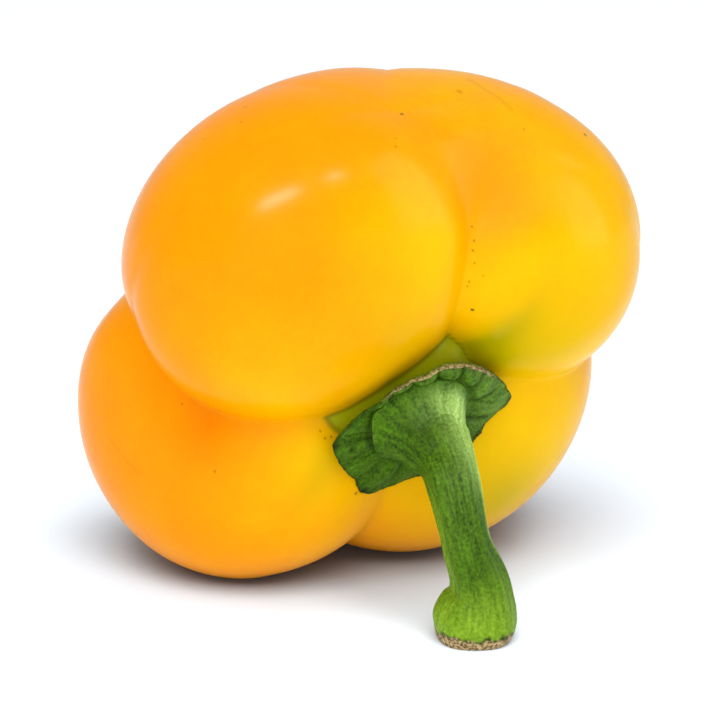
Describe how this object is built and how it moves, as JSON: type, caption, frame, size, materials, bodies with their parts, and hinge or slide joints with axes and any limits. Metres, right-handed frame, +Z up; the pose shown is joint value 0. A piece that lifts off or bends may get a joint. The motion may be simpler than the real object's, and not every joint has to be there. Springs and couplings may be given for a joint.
{
  "type": "bell pepper",
  "caption": "Yellow bell pepper lying on its side, with rounded lobes, deep creases between them, and a green ribbed stem that widens into a pleated calyx.",
  "frame": {"origin": "on the surface the pepper lies on, under the middle of its overall box", "axes": "+Z up from the surface; the stem end points towards -Y, a little to +X and downwards; +X is the pepper's right seen from its stem end"},
  "size_m": [0.0944, 0.0851, 0.0868],
  "materials": {
    "pepper_skin": "gloss",
    "pepper_stem": "matte"
  },
  "bodies": {
    "root": {"fruit": "pepper_skin", "stem_with_calyx": "pepper_stem"}
  },
  "joints": []
}
